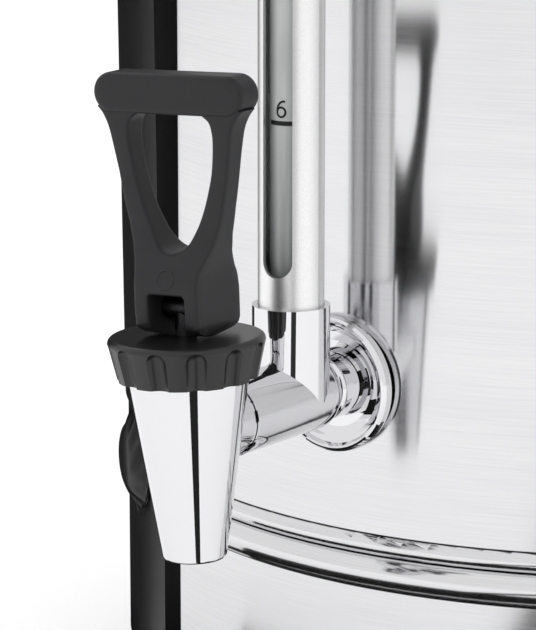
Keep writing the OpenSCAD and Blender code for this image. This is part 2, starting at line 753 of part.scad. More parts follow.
module collar_nut() {
    edge = 1.6;
    groove_r = 3.3;
    color("#26262a") tap_frame() translate([0, 0, spout_top_z + 0.1]) difference() {
        height = collar_h - 0.1;
        rotate_extrude() {
            polygon([[0, 0], [collar_foot_r, 0], [collar_top_r, height - edge], [0, height - edge]]);
            translate([0, height - 2 * edge]) square([collar_top_r - edge, 2 * edge]);
            translate([collar_top_r - edge, height - edge]) circle(r = edge, $fn = 32);
        }
        for (i = [0 : groove_n - 1]) rotate([0, 0, 360 / groove_n * (i + 0.5)])
            translate([collar_foot_r + groove_r - 1.5, 0, -1]) rotate([0, 10, 0]) {
                cylinder(r = groove_r, h = height - 3.2, $fn = 32);
                translate([0, 0, height - 3.2]) sphere(r = groove_r, $fn = 32);
            }
        translate([0, 0, -1]) cylinder(r = neck_r + fit, h = collar_roof_z - spout_top_z + 0.9);
        translate([0, 0, -1]) cylinder(r = stem_r + run_gap, h = cut);
    }
}

module lever_pin() {
    color("silver") lever_frame() rotate([0, 90, 0]) cylinder(r = pin_r, h = block_w - 1, center = true, $fn = 32);
}

// The loop's outline from the front: X across, Y up from the collar
module loop_outline() {
    shoulder_y = block_h + 2;
    bar_low = lever_h - bar_h;
    difference() {
        union() {
            translate([0, lever_h - bar_h / 2]) stadium(lever_w, bar_h / 2, $fn = 64);
            polygon([[-block_w / 2, block_h - 6], [-14.2, shoulder_y], [-16.7, 36], [-19.6, 51], [-21.5, bar_low + 3],
                [21.5, bar_low + 3], [19.6, 51], [16.7, 36], [14.2, shoulder_y], [block_w / 2, block_h - 6]]);
        }
        // the finger loop: a rounded triangle standing on its point
        point_r = 5;
        polygon([[-5, 26.5], [-13.6, bar_low - 4.2], [13.6, bar_low - 4.2], [5, 26.5]]);
        translate([0, 27.2]) circle(r = point_r, $fn = 48);
        for (side = [-1, 1]) translate([side * 9.6, bar_low - 4]) circle(r = 4, $fn = 48);
        translate([-9.6, bar_low - 6]) square([19.2, 6]);
    }
}

module lever() {
    base = collar_top_z + run_gap - pin_z;      // the foot's lowest line, from the pin
    foot_top = base + foot_round_r;
    color("#3c3c3e") lever_frame() difference() {
        union() {
            translate([0, loop_mid + loop_t / 2, base]) rotate([90, 0, 0]) linear_extrude(loop_t) loop_outline();
            // the block with its rocking foot
            intersection() {
                rotate([90, 0, 90]) translate([0, 0, -block_w / 2]) linear_extrude(block_w) {
                    intersection() {
                        translate([0, foot_top]) circle(r = foot_round_r, $fn = 96);
                        translate([-block_d / 2, base]) square([block_d, foot_round_r]);
                    }
                    polygon([[-block_d / 2, base + 6], [-block_d / 2, base + block_h],
                        [loop_mid - loop_t / 2, base + block_h + 5], [loop_mid + loop_t / 2, base + block_h + 5],
                        [block_d / 2, base + block_h - 1], [block_d / 2, base + 6]]);
                }
                translate([0, 0, base - 1]) linear_extrude(cut) square([block_w, block_d], center = true);
            }
        }
        // the fork over the stem, and the pin's hole
        translate([-fork_w / 2, -cut, base - 1]) cube([fork_w, 2 * cut, 1 - base + eye_r + run_gap]);
        rotate([0, 90, 0]) cylinder(r = pin_r + 0.02, h = cut, center = true, $fn = 32);
        // the round mark on the front, and the thumb hollow on each side
        translate([0, -block_d / 2 - 1, base + 15]) rotate([-90, 0, 0]) ring(2.2, 1.7, 0, 1.3, $fn = 32);
        for (side = [-1, 1]) translate([side * (block_w / 2 + 5.4), 3.5, base + 15]) sphere(r = 6.6, $fn = 48);
    }
}

// ---- percolator ----

module riser_tube() {
    color("silver") difference() {
        union() {
            translate([0, 0, riser_foot_z]) cylinder(r = riser_r, h = riser_top_z - riser_foot_z, $fn = 48);
            translate([0, 0, basket_foot_z - 4]) cylinder(r = hub_r + 1, h = 4 - 0.1, $fn = 48);
        }
        translate([0, 0, riser_foot_z - 1]) cylinder(r = riser_r - 1, h = rim_z, $fn = 48);
    }
}

module pump_bell() {
    wall = 1.2;
    foot = floor_z - well_depth + 0.2;
    foot_r = well_r - 2;
    color("gainsboro") difference() {
        union() {
            translate([0, 0, foot]) cylinder(r = foot_r, h = 3);
            translate([0, 0, foot + 3 - eps]) cylinder(r1 = foot_r, r2 = 12, h = bell_h - 6);
            translate([0, 0, foot + bell_h - 3 - 2 * eps]) cylinder(r = 9, h = 6);
        }
        translate([0, 0, foot - 1]) cylinder(r = foot_r - wall, h = 1 + 3);
        translate([0, 0, foot + 3 - eps]) cylinder(r1 = foot_r - wall, r2 = 12 - wall, h = bell_h - 6 - wall);
        cylinder(r = riser_r + 0.02, h = rim_z, $fn = 48);
        for (i = [0 : 5]) rotate([0, 0, 60 * i]) translate([foot_r - 4, -2, foot - 1]) cube([10, 4, 2.5]);
    }
}

module coffee_basket() {
    foot = basket_foot_z;
    hole_rings = [28, 42, 56, 70, 82];
    color("silver") difference() {
        union() {
            ring(basket_r, basket_r - basket_t, foot, foot + basket_h);
            translate([0, 0, foot]) cylinder(r = basket_r - basket_t / 2, h = basket_t);
            ring(hub_r, riser_r + run_gap, foot, foot + basket_h - 8);
            rotate_extrude() translate([basket_r + 0.8, foot + basket_h - 1.4]) circle(r = 1.4, $fn = 24);
        }
        translate([0, 0, foot - 1]) cylinder(r = riser_r + run_gap, h = basket_h);
        for (r = hole_rings, i = [0 : round(r / 3.5) - 1])
            rotate([0, 0, 360 / round(r / 3.5) * i]) translate([r, 0, foot - 1])
                cylinder(r = 1.3, h = 3, $fn = 16);
    }
}

module basket_lid() {
    low = basket_foot_z + basket_h + 0.1;
    color("gainsboro") difference() {
        union() {
            translate([0, 0, low]) cylinder(r = basket_r + 3.6, h = basket_t);
            ring(basket_r + 3.6, basket_r + 2.6, low - 5, low + eps);
        }
        translate([0, 0, low - 1]) cylinder(r = spreader_hole_r, h = 4, $fn = 48);
        for (r = [20, 36, 52, 68], i = [0 : round(r / 5) - 1])
            rotate([0, 0, 360 / round(r / 5) * i]) translate([r, 0, low - 1]) cylinder(r = 1.6, h = 4, $fn = 16);
    }
}

// ---- lid ----

module lid() {
    seat = rim_z + 0.1;
    flange_r = inner_r - 1.2;
    span_r = inner_r - 4;
    dome_r = (pow(span_r, 2) + pow(dome_h, 2)) / (2 * dome_h);
    color("silver") difference() {
        union() {
            // the flat border over the rim, its rolled edge and the flange inside the tank
            ring(inner_r + 2 * rim_r + 1, span_r - 1, seat, seat + sheet);
            rotate_extrude($fn = 180) translate([inner_r + 2 * rim_r + 1, seat + 1.6]) circle(r = 1.6, $fn = 32);
            ring(flange_r, flange_r - sheet, seat - lid_flange_h, seat + eps);
            // the dome
            rotate_extrude($fn = 180) intersection() {
                translate([0, seat + dome_h - dome_r]) difference() {
                    circle(r = dome_r, $fn = 720);
                    circle(r = dome_r - sheet, $fn = 720);
                }
                translate([0, seat]) square([span_r + 1, dome_h + 1]);
            }
        }
        translate([0, 0, seat]) cylinder(r = 2.6, h = dome_h + 5, $fn = 24);
        for (side = [-1, 1]) translate([side * 60, 0, seat]) cylinder(r = 2.5, h = dome_h + 5, $fn = 24);
    }
}

module lid_knob() {
    neck = 10;
    color("#222224") translate([0, 0, lid_knob_seat]) difference() {
        rotate_extrude() {
            square([neck, lid_knob_h - 8]);
            polygon([[0, 0], [15, 0], [15, 2], [neck, 8], [0, 8]]);
            polygon([[0, lid_knob_h - 14], [neck, lid_knob_h - 14], [lid_knob_r - 3, lid_knob_h - 9], [0, lid_knob_h - 9]]);
            translate([0, lid_knob_h - 10]) square([lid_knob_r - 4, 8]);
            translate([lid_knob_r - 4, lid_knob_h - 6]) circle(r = 4, $fn = 40);
            translate([0, lid_knob_h - 4]) square([lid_knob_r - 8, 4]);
        }
        translate([0, 0, -1]) cylinder(r = 2.1, h = 16, $fn = 24);
    }
}

module lid_screw() {
    color("silver") translate([0, 0, lid_knob_seat - sheet - 0.6 - screw_head_h])
        pan_screw(2, 13, 5, screw_head_h, $fn = 32);
}

body_shell();
tank_floor();
base_skirt();
base_ring();
base_plate();
base_screws();
heater_plate();
heating_element();
boil_dry_cutout();
thermostat();
terminal_block();
cord_gland();
control_column();
column_screws();
pilot_lamps();
thermostat_shaft();
thermostat_knob();
handle_left();
handle_right();
handle_screws();
escutcheon();
gauge_tee();
wall_washers();
shank_nut();
gauge_seal();
gauge_glass();
gauge_sleeve();
gauge_cap();
gauge_bracket();
bracket_nut();
tap_body();
valve_stem();
seat_cup();
valve_spring();
collar_nut();
lever_pin();
lever();
riser_tube();
pump_bell();
coffee_basket();
basket_lid();
lid();
lid_knob();
lid_screw();
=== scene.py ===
import math

import bmesh
import bpy
from mathutils import Matrix, Vector
from mathutils.geometry import delaunay_2d_cdt


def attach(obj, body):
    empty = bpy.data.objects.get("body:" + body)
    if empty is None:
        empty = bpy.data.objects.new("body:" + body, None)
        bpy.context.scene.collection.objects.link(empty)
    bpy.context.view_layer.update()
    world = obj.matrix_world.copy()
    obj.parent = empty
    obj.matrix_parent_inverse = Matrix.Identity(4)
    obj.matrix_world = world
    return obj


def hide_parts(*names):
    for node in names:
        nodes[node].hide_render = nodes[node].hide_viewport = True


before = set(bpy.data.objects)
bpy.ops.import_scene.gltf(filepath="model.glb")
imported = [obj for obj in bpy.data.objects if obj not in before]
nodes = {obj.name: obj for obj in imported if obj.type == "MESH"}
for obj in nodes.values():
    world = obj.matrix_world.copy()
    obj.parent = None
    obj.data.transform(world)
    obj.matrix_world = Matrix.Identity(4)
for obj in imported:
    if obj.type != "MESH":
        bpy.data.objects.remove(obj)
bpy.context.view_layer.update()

mm = 0.001
print("stage: frame loaded,", len(nodes), "nodes")


def linearColour(hexText):
    channels = [int(hexText[i:i + 2], 16) / 255 for i in (1, 3, 5)]
    return tuple(c / 12.92 if c <= 0.04045 else ((c + 0.055) / 1.055) ** 2.4 for c in channels) + (1.0,)


def setInputs(tree, node, inputs):
    # a socket is linked, and anything else becomes the input's own value
    for name, value in inputs.items():
        if isinstance(value, bpy.types.NodeSocket):
            tree.links.new(value, node.inputs[name])
        else:
            node.inputs[name].default_value = value


def addNode(tree, kind, inputs=None, stops=(), **settings):
    # stops are the places and colours of a colour ramp
    node = tree.nodes.new(kind)
    for name, value in settings.items():
        setattr(node, name, value)
    setInputs(tree, node, inputs or {})
    if stops:
        elements = node.color_ramp.elements
        for element, (place, colour) in zip(elements, (stops[0], stops[-1])):
            element.position, element.color = place, linearColour(colour)
        for place, colour in stops[1:-1]:
            elements.new(place).color = linearColour(colour)
    return node


def newMaterial(name, colour, roughness, metallic=0.0, **sockets):
    material = bpy.data.materials.new(name)
    material.use_nodes = True
    tree = material.node_tree
    shader = tree.nodes["Principled BSDF"]
    setInputs(tree, shader, {
        "Base Color": linearColour(colour), "Roughness": roughness, "Metallic": metallic, **sockets})
    return material, tree, shader


def repeats(*sizes):
    # how often a pattern comes in a metre along each axis, from the real size of one repeat
    return tuple(1 / size for size in sizes)


brushing = {                                    # how the belt leaves the stainless sheet
    "anisotropy": 0.85, "turn": 0.25,
    "streak": 45 * mm, "bands": (142.857 * mm, 142.857 * mm, 11.111 * mm), "bandShare": 0.25,
    "relief": 0.01 * mm, "reliefStrength": 0.05,
    # painted shade: the tone and widths of the dark line drawn at each crease of the tank's bead
    "creaseShadeTone": "#2E2E30", "creaseCore": 0.14 * mm, "creaseFade": 0.32 * mm, "creaseMargin": 2 * mm,
}


def paintedCreaseShade(tree, sheet, point, creases):
    # painted shade: a thin dark line round the sheet at each crease's height, standing in for the shade and dark
    # reflection in the crease
    low, high = min(creases) - brushing["creaseMargin"], max(creases) + brushing["creaseMargin"]
    core, fade, dark, clear = brushing["creaseCore"], brushing["creaseFade"], brushing["creaseShadeTone"], "#FFFFFF"
    stops = [(0.0, clear)]
    for z in sorted(creases):
        for shift, tone in ((-fade, clear), (-core, dark), (core, dark), (fade, clear)):
            stops.append(((z + shift - low) / (high - low), tone))
    height = addNode(tree, "ShaderNodeMapRange", {
        "Value": addNode(tree, "ShaderNodeSeparateXYZ", {0: point}).outputs["Z"],
        "From Min": low, "From Max": high})
    shade = addNode(tree, "ShaderNodeValToRGB", {0: height.outputs["Result"]}, stops + [(1.0, clear)])
    return addNode(tree, "ShaderNodeMix", {0: 1.0, 6: sheet, 7: shade.outputs["Color"]}, data_type="RGBA",
                   blend_type="MULTIPLY").outputs[2]


def brushedStainless(name, colours, roughness, grain, streak=brushing["streak"], creases=()):
    # stainless sheet, belt-brushed round the tank: reflections stay sharp sideways and smear up and down; the
    # belt's own lines are about 0.1 mm wide, and are drawn coarser so that they show
    material, tree, shader = newMaterial(name, colours[0], roughness, 1.0, **{
        "Anisotropic": brushing["anisotropy"], "Anisotropic Rotation": brushing["turn"]})
    point = addNode(tree, "ShaderNodeTexCoord").outputs["Object"]
    lines = addNode(tree, "ShaderNodeMapping", {"Vector": point, "Scale": repeats(streak, streak, grain)})
    fine = addNode(tree, "ShaderNodeTexNoise", {
        "Vector": lines.outputs["Vector"], "Scale": 1.0, "Detail": 3.0}).outputs["Fac"]
    bands = addNode(tree, "ShaderNodeMapping", {"Vector": point, "Scale": repeats(*brushing["bands"])})
    broad = addNode(tree, "ShaderNodeTexNoise", {
        "Vector": bands.outputs["Vector"], "Scale": 1.0, "Detail": 2.0}).outputs["Fac"]
    lineTone = addNode(tree, "ShaderNodeValToRGB", {0: fine}, ((0.3, colours[1]), (0.7, colours[0])))
    bandTone = addNode(tree, "ShaderNodeValToRGB", {0: broad}, ((0.35, colours[1]), (0.65, colours[0])))
    sheet = addNode(tree, "ShaderNodeMix", {
        0: brushing["bandShare"], 6: lineTone.outputs["Color"], 7: bandTone.outputs["Color"]},
        data_type="RGBA").outputs[2]
    # painted shade and dark reflection at the creases
    if creases:
        sheet = paintedCreaseShade(tree, sheet, point, creases)
    rough = addNode(tree, "ShaderNodeMapRange", {
        "Value": fine, "To Min": roughness * 0.8, "To Max": roughness * 1.2})
    bump = addNode(tree, "ShaderNodeBump", {
        "Height": fine, "Strength": brushing["reliefStrength"], "Distance": brushing["relief"]})
    tangent = addNode(tree, "ShaderNodeTangent", direction_type="RADIAL", axis="Z")
    setInputs(tree, shader, {"Base Color": sheet, "Roughness": rough.outputs["Result"],
                             "Normal": bump.outputs["Normal"], "Tangent": tangent.outputs["Tangent"]})
    return material


def polishedChrome(name, colour, roughness, patch=16.667 * mm):
    # chrome plate on cast brass: a clean mirror with faint patches of polishing haze
    material, tree, shader = newMaterial(name, colour, roughness, 1.0)
    point = addNode(tree, "ShaderNodeTexCoord").outputs["Object"]
    patches = addNode(tree, "ShaderNodeMapping", {"Vector": point, "Scale": repeats(patch, patch, patch)})
    haze = addNode(tree, "ShaderNodeTexNoise", {
        "Vector": patches.outputs["Vector"], "Scale": 1.0, "Detail": 4.0})
    rough = addNode(tree, "ShaderNodeMapRange", {
        "Value": haze.outputs["Fac"], "To Min": roughness * 0.6, "To Max": roughness * 1.5})
    setInputs(tree, shader, {"Roughness": rough.outputs["Result"]})
    return material


def blastedAluminium(name, colours, roughness, grain, strength=0.25, relief=0.04 * mm):
    # extruded tube, bead-blasted and anodised: an even satin sparkle, which castings, zinc and sheath have too;
    # the beads' pits are about 0.1 mm wide, and are drawn coarser so that they show
    material, tree, shader = newMaterial(name, colours[0], roughness, 1.0)
    point = addNode(tree, "ShaderNodeTexCoord").outputs["Object"]
    pits = addNode(tree, "ShaderNodeMapping", {"Vector": point, "Scale": repeats(grain, grain, grain)})
    speck = addNode(tree, "ShaderNodeTexNoise", {
        "Vector": pits.outputs["Vector"], "Scale": 1.0, "Detail": 2.0}).outputs["Fac"]
    tone = addNode(tree, "ShaderNodeValToRGB", {0: speck}, ((0.35, colours[1]), (0.65, colours[0])))
    bump = addNode(tree, "ShaderNodeBump", {"Height": speck, "Strength": strength, "Distance": relief})
    setInputs(tree, shader, {"Base Color": tone.outputs["Color"], "Normal": bump.outputs["Normal"]})
    return material


def mouldedPlastic(name, colours, roughness, grain, shine=0.3, relief=0.03 * mm, patch=22.222 * mm):
    # ABS or phenolic moulding: a fine spark texture, drawn coarser than the mould's 0.1 mm so that it shows, and
    # slow patches of gloss from handling
    material, tree, shader = newMaterial(name, colours[0], roughness, **{
        "IOR": 1.5, "Specular IOR Level": shine})
    point = addNode(tree, "ShaderNodeTexCoord").outputs["Object"]
    pits = addNode(tree, "ShaderNodeMapping", {"Vector": point, "Scale": repeats(grain, grain, grain)})
    spark = addNode(tree, "ShaderNodeTexNoise", {
        "Vector": pits.outputs["Vector"], "Scale": 1.0, "Detail": 3.0})
    patches = addNode(tree, "ShaderNodeMapping", {"Vector": point, "Scale": repeats(patch, patch, patch)})
    handled = addNode(tree, "ShaderNodeTexNoise", {
        "Vector": patches.outputs["Vector"], "Scale": 1.0, "Detail": 3.0}).outputs["Fac"]
    tone = addNode(tree, "ShaderNodeValToRGB", {0: handled}, ((0.3, colours[1]), (0.7, colours[0])))
    rough = addNode(tree, "ShaderNodeMapRange", {
        "Value": handled, "To Min": roughness * 0.88, "To Max": roughness * 1.12})
    bump = addNode(tree, "ShaderNodeBump", {
        "Height": spark.outputs["Fac"], "Strength": 0.35, "Distance": relief})
    setInputs(tree, shader, {"Base Color": tone.outputs["Color"], "Roughness": rough.outputs["Result"],
                             "Normal": bump.outputs["Normal"]})
    return material


def hazyTube(name, colours, roughness, foot, head, smear=(11.111 * mm, 11.111 * mm, 111.11 * mm)):
    # extruded tube gone hazy from years of coffee, smeared along its length; its colour grows darker towards its
    # foot, where it meets its seal
    material, tree, shader = newMaterial(name, colours[0], roughness, **{
        "IOR": 1.47, "Transmission Weight": 0.35})
    point = addNode(tree, "ShaderNodeTexCoord").outputs["Object"]
    height = addNode(tree, "ShaderNodeMapRange", {
        "Value": addNode(tree, "ShaderNodeSeparateXYZ", {0: point}).outputs["Z"],
        "From Min": foot, "From Max": head})
    darkerTowardsFoot = addNode(tree, "ShaderNodeValToRGB", {0: height.outputs["Result"]}, (
        (0.0, colours[2]), (0.45, colours[1]), (1.0, colours[0])))
    streaks = addNode(tree, "ShaderNodeMapping", {"Vector": point, "Scale": repeats(*smear)})
    haze = addNode(tree, "ShaderNodeTexNoise", {
        "Vector": streaks.outputs["Vector"], "Scale": 1.0, "Detail": 2.0})
    rough = addNode(tree, "ShaderNodeMapRange", {
        "Value": haze.outputs["Fac"], "To Min": roughness, "To Max": roughness * 2})
    setInputs(tree, shader, {"Base Color": darkerTowardsFoot.outputs["Color"], "Roughness": rough.outputs["Result"]})
    return material


def ribbedLens(name, colours, roughness, rib=1.9635 * mm):
    # moulded amber lens with fine ribs, its lamp unlit; the wave texture has a band every pi / 10 of its scale
    material, tree, shader = newMaterial(name, colours[0], roughness, IOR=1.49)
    point = addNode(tree, "ShaderNodeTexCoord").outputs["Object"]
    ribs = addNode(tree, "ShaderNodeTexWave", {"Vector": point, "Scale": math.pi / 10 / rib},
                   wave_type="BANDS", bands_direction="Z")
    tone = addNode(tree, "ShaderNodeValToRGB", {0: ribs.outputs["Fac"]}, ((0.2, colours[1]), (0.8, colours[0])))
    setInputs(tree, shader, {"Base Color": tone.outputs["Color"]})
    return material


finishes = {                                    # colours, roughness and the real size of the grain
    # the tank's sheet has painted shade at its three creases, given as heights in metres
    "tankSheet": brushedStainless("brushedStainlessTank", ("#DDDDDE", "#D1D1D3"), 0.125, 0.25 * mm, 30 * mm,
                                  (67.3 * mm, 77.7 * mm, 84 * mm)),
    "innerSheet": brushedStainless("satinStainlessInside", ("#CFCFD1", "#BDBDBF"), 0.3, 0.9 * mm),
    "lidSheet": brushedStainless("polishedStainlessLid", ("#E2E2E4", "#D6D6D8"), 0.14, 0.8 * mm),
    "chrome": polishedChrome("chromePlatedBrass", "#DEDEE0", 0.03),
    "sleeve": blastedAluminium("beadBlastedAluminium", ("#F4F4F4", "#E8E8E8"), 0.38, 0.28 * mm, 0.1),
    "castAluminium": blastedAluminium("castAluminiumHeater", ("#C4C4C6", "#A5A5A8"), 0.5, 1.2 * mm),
    "blackAbs": mouldedPlastic("blackMouldedAbs", ("#1E1E21", "#18181A"), 0.42, 0.7 * mm),
    "columnAbs": mouldedPlastic("blackGlossyAbsColumn", ("#131315", "#0E0E10"), 0.3, 0.8 * mm, 0.2, 0.01 * mm),
    "collarAbs": mouldedPlastic("blackMouldedCollar", ("#1B1B1D", "#161618"), 0.34, 0.8 * mm, 0.5, 0.05 * mm),
    "leverAbs": mouldedPlastic("darkGreyMouldedLever", ("#2A2A2C", "#262628"), 0.44, 0.6 * mm, 0.28),
    "phenolic": mouldedPlastic("blackPhenolicHandle", ("#222225", "#1A1A1D"), 0.3, 0.8 * mm),
    "silicone": mouldedPlastic("milkySiliconeSeal", ("#D8D4CC", "#C8C4BA"), 0.55, 0.8 * mm),
    "cream": mouldedPlastic("creamNylonTerminals", ("#E4DDC8", "#D6CEB6"), 0.45, 0.9 * mm),
    "zinc": blastedAluminium("zincPlatedSteel", ("#C9CBCE", "#A9ACB2"), 0.35, 0.9 * mm),
    # painted shade: the stem is coloured dark to stand in for the shade in the lever's notch
    "stem": blastedAluminium("shadeDarkenedStainlessStem", ("#38383A", "#29292B"), 0.35, 0.6 * mm),
    "sheath": blastedAluminium("dullIncoloySheath", ("#7B7874", "#5A5652"), 0.5, 0.9 * mm),
    # the third colour is the tube's darker foot
    "glass": hazyTube("hazyPolycarbonateTube", ("#F0F2F2", "#D6D8D8", "#4E4E4E"), 0.06, 150 * mm, 215 * mm),
    "lens": ribbedLens("amberAcrylicLens", ("#D8521C", "#A83A10"), 0.18),
    "ink": mouldedPlastic("blackFiredInk", ("#1A1A1B", "#101011"), 0.4, 0.5 * mm),
}

nodeFinish = {
    "tankSheet": ("body_shell", "base_skirt"),
    "innerSheet": ("tank_floor", "base_plate", "riser_tube", "pump_bell", "coffee_basket", "basket_lid"),
    "lidSheet": ("lid",),
    "chrome": ("escutcheon", "gauge_tee", "tap_body", "gauge_cap", "gauge_bracket"),
    "sleeve": ("gauge_sleeve",),
    "castAluminium": ("heater_plate",),
    "blackAbs": ("base_ring", "thermostat_knob", "cord_gland"),
    "columnAbs": ("control_column",),
    "collarAbs": ("collar_nut",),
    "leverAbs": ("lever",),
    "phenolic": ("handle_left", "handle_right", "lid_knob"),
    "silicone": ("gauge_seal", "seat_cup", "wall_washers"),
    "cream": ("terminal_block",),
    "zinc": ("base_screws", "column_screws", "handle_screws", "lid_screw", "shank_nut", "bracket_nut",
             "lever_pin", "valve_spring", "thermostat_shaft", "boil_dry_cutout", "thermostat"),
    "stem": ("valve_stem",),
    "sheath": ("heating_element",),
    "glass": ("gauge_glass",),
    "lens": ("pilot_lamps",),
}
for finish, names in nodeFinish.items():
    for name in names:
        materials = nodes[name].data.materials
        materials.clear()
        materials.append(finishes[finish])
print("stage: finishes on", sum(len(names) for names in nodeFinish.values()), "nodes")


def addPiece(name, shape, finish, body, smooth=40):
    bmesh.ops.recalc_face_normals(shape, faces=shape.faces)
    mesh = bpy.data.meshes.new(name)
    shape.to_mesh(mesh)
    shape.free()
    piece = bpy.data.objects.new(name, mesh)
    bpy.context.scene.collection.objects.link(piece)
    mesh.materials.append(finishes[finish])
    mesh.polygons.foreach_set("use_smooth", [True] * len(mesh.polygons))
    mesh.set_sharp_from_angle(angle=math.radians(smooth))
    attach(piece, body)
    return piece


scale = {                                       # the gauge's printing, in millimetres unless said
    "axisY": -174 * mm, "radius": 6.25 * mm,    # the glass's axis and the ink's radius on it, in metres
    "yaw": 9,                                   # degrees, as the sleeve's slot
    "marks": (("6", 208), ("9", 250.6), ("12", 293.2), ("15", 335.8)),
    "barWidth": 8.2, "barHeight": 1.3, "barSteps": 14, "digitHeight": 4.7, "digitGap": 1.1,
    "pitch": 0.72, "side": 0.1,                 # of a digit's height: from digit to digit, and spare at the end
    "pen": 0.62, "ink": 0.04,
}


def arc(cx, cy, rx, ry, start, end, count=18):
    return [(cx + rx * math.cos(math.radians(start + (end - start) * i / count)),
             cy + ry * math.sin(math.radians(start + (end - start) * i / count))) for i in range(count + 1)]


digitStrokes = {                                # strings of points on a 0 to 1 box, drawn with a round pen
    "1": [[(0.12, 0.78), (0.34, 0.98), (0.34, 0.0)]],
    "2": [arc(0.3, 0.72, 0.27, 0.27, 165, -35) + [(0.02, 0.02), (0.6, 0.02)]],
    "5": [[(0.55, 0.98), (0.13, 0.98), (0.08, 0.55)] + arc(0.29, 0.32, 0.28, 0.31, 125, -150)],
    "6": [arc(0.31, 0.3, 0.27, 0.29, 180, 540, 30), arc(0.5, 0.36, 0.46, 0.6, 186, 95, 14) + [(0.56, 0.93)]],
    "9": [arc(0.3, 0.69, 0.27, 0.29, 0, 360, 30), arc(0.11, 0.63, 0.46, 0.6, 6, -85, 14) + [(0.05, 0.06)]],
}


def numberLines(text, height):
    # the number's strokes in millimetres, its middle over 0
    lines, x = [], 0.0
    for digit in text:
        lines += [[((px + x) * height, py * height) for px, py in line] for line in digitStrokes[digit]]
        x += scale["pitch"]
    width = (x - scale["side"]) * height
    return [[(px - width / 2, py) for px, py in line] for line in lines]


def penRibbon(line, width):
    # a flat ribbon of the pen's width along a line
    left, right = [], []
    for i, (x, y) in enumerate(line):
        ax, ay = line[max(i - 1, 0)]
        bx, by = line[min(i + 1, len(line) - 1)]
        dx, dy = bx - ax, by - ay
        size = math.hypot(dx, dy) or 1
        left.append((x - dy / size * width / 2, y + dx / size * width / 2))
        right.append((x + dy / size * width / 2, y - dx / size * width / 2))
    return left, right


def gaugeScale():
    shape = bmesh.new()

    def onGlass(x, z, lift):
        # wraps a flat point round the glass, x in mm to the right as seen from outside
        turn = math.radians(scale["yaw"]) + x * mm / scale["radius"]
        reach = scale["radius"] + lift * mm
        return Vector((reach * math.sin(turn), scale["axisY"] - reach * math.cos(turn), z * mm))

    def ribbon(left, right):
        rows = [[shape.verts.new(onGlass(*a, lift)) for a in (p, q) for lift in (0, scale["ink"])]
                for p, q in zip(left, right)]
        for a, b in zip(rows, rows[1:]):
            shape.faces.new((a[1], b[1], b[3], a[3]))
            shape.faces.new((a[0], a[2], b[2], b[0]))
            shape.faces.new((a[0], b[0], b[1], a[1]))
            shape.faces.new((a[2], a[3], b[3], b[2]))
        shape.faces.new(rows[0][i] for i in (0, 1, 3, 2))
        shape.faces.new(rows[-1][i] for i in (0, 2, 3, 1))

    steps, half = scale["barSteps"], scale["barWidth"] / 2
    xs = [-half + 2 * half * i / steps for i in range(steps + 1)]
    for text, height in scale["marks"]:
        ribbon([(x, height + scale["barHeight"]) for x in xs], [(x, height) for x in xs])
        foot = height + scale["barHeight"] + scale["digitGap"]
        for line in numberLines(text, scale["digitHeight"]):
            ribbon(*penRibbon([(x, y + foot) for x, y in line], scale["pen"]))
    addPiece("gaugeScale", shape, "ink", "urn")


lever = {                                       # millimetres in the lever's own frame, heights from its foot
    "tapHeight": 128.3, "tapRadius": 221.0, "pinHeight": 34.7, "footToPin": 7.4,
    "lean": 2.4, "yaw": 6.0,                    # degrees
    "outer": ((10.2, 3.5), (10.2, 9), (10.2, 16.5), (10.9, 20), (12.9, 25.6), (14.9, 32.5), (16.3, 38.5),
              (17.7, 46.3), (19.0, 54), (19.8, 57.5), (21.3, 60.6), (23.0, 62.6)),
    "top": 66,                                  # of the legs, inside the bar
    "hole": ((0, 23.0), (2.2, 23.5), (4.3, 25.0), (6.5, 28.4), (9.3, 34.8), (11.3, 41.5), (12.5, 47.3),
             (13.2, 53), (13.2, 56.5), (12.4, 59.2), (10.2, 61)),
    "holeTop": 61,
    "notchHalf": 5.7, "notchTop": 12.2, "notchCut": 0.7, "notchMiddle": 5,
    "sole": ((8.6, 0.05), (9.7, 0.9)), "soleHeight": 0.05,
    "rockFront": 16, "rockBack": 38, "rockTop": 12,         # radii of the foot's curve, and how high it reaches
    "barHalf": 23.7, "barLow": 60.9, "barHigh": 72.0, "barFront": -5.7, "barBack": 4.4, "barRound": 1.5,
    "front": ((0, -9.6), (9, -10.2), (15.5, -10.2), (18.5, -9.2), (22, -7.2), (26, -5.3), (31, -4.3),
              (45, -4.0), (57, -5.0), (71, -5.2)),
    "back": ((0, 12.6), (12, 12.7), (16, 12.0), (19, 9.9), (23, 6.8), (28, 4.7), (36, 3.5), (50, 3.0),
             (71, 3.2)),
    "round": 0.95,
    "wall": ((-6.5, 1.6), (6.5, 1.6), (6.5, 14.2), (-6.5, 14.2)),
    "wallFront": 9.4, "wallBack": 12.3, "wallRound": 0.4,
    "markHeight": 16.6, "markRadius": 2.6, "markTube": 0.28, "markFlat": 0.5, "markSteps": 40, "markSides": 6,
}


def follow(table, x):
    # straight between the table's points
    for (x0, y0), (x1, y1) in zip(table, table[1:]):
        if x <= x1:
            t = min(max((x - x0) / (x1 - x0), 0), 1)
            return y0 + (y1 - y0) * t
    return table[-1][1]


def smoothLine(points, steps=5):
    # Catmull-Rom through the points
    line = []
    for i in range(len(points) - 1):
        p0, p1, p2, p3 = (Vector(points[min(max(i + k, 0), len(points) - 1)]) for k in (-1, 0, 1, 2))
        for k in range(steps):
            t = k / steps
            line.append(0.5 * (2 * p1 + (p2 - p0) * t + (2 * p0 - 5 * p1 + 4 * p2 - p3) * t * t
                               + (3 * p1 - 3 * p2 + p3 - p0) * t ** 3))
    return line + [Vector(points[-1])]


def mirrored(points):
    return [Vector((-p.x, p.y)) for p in reversed(points)]


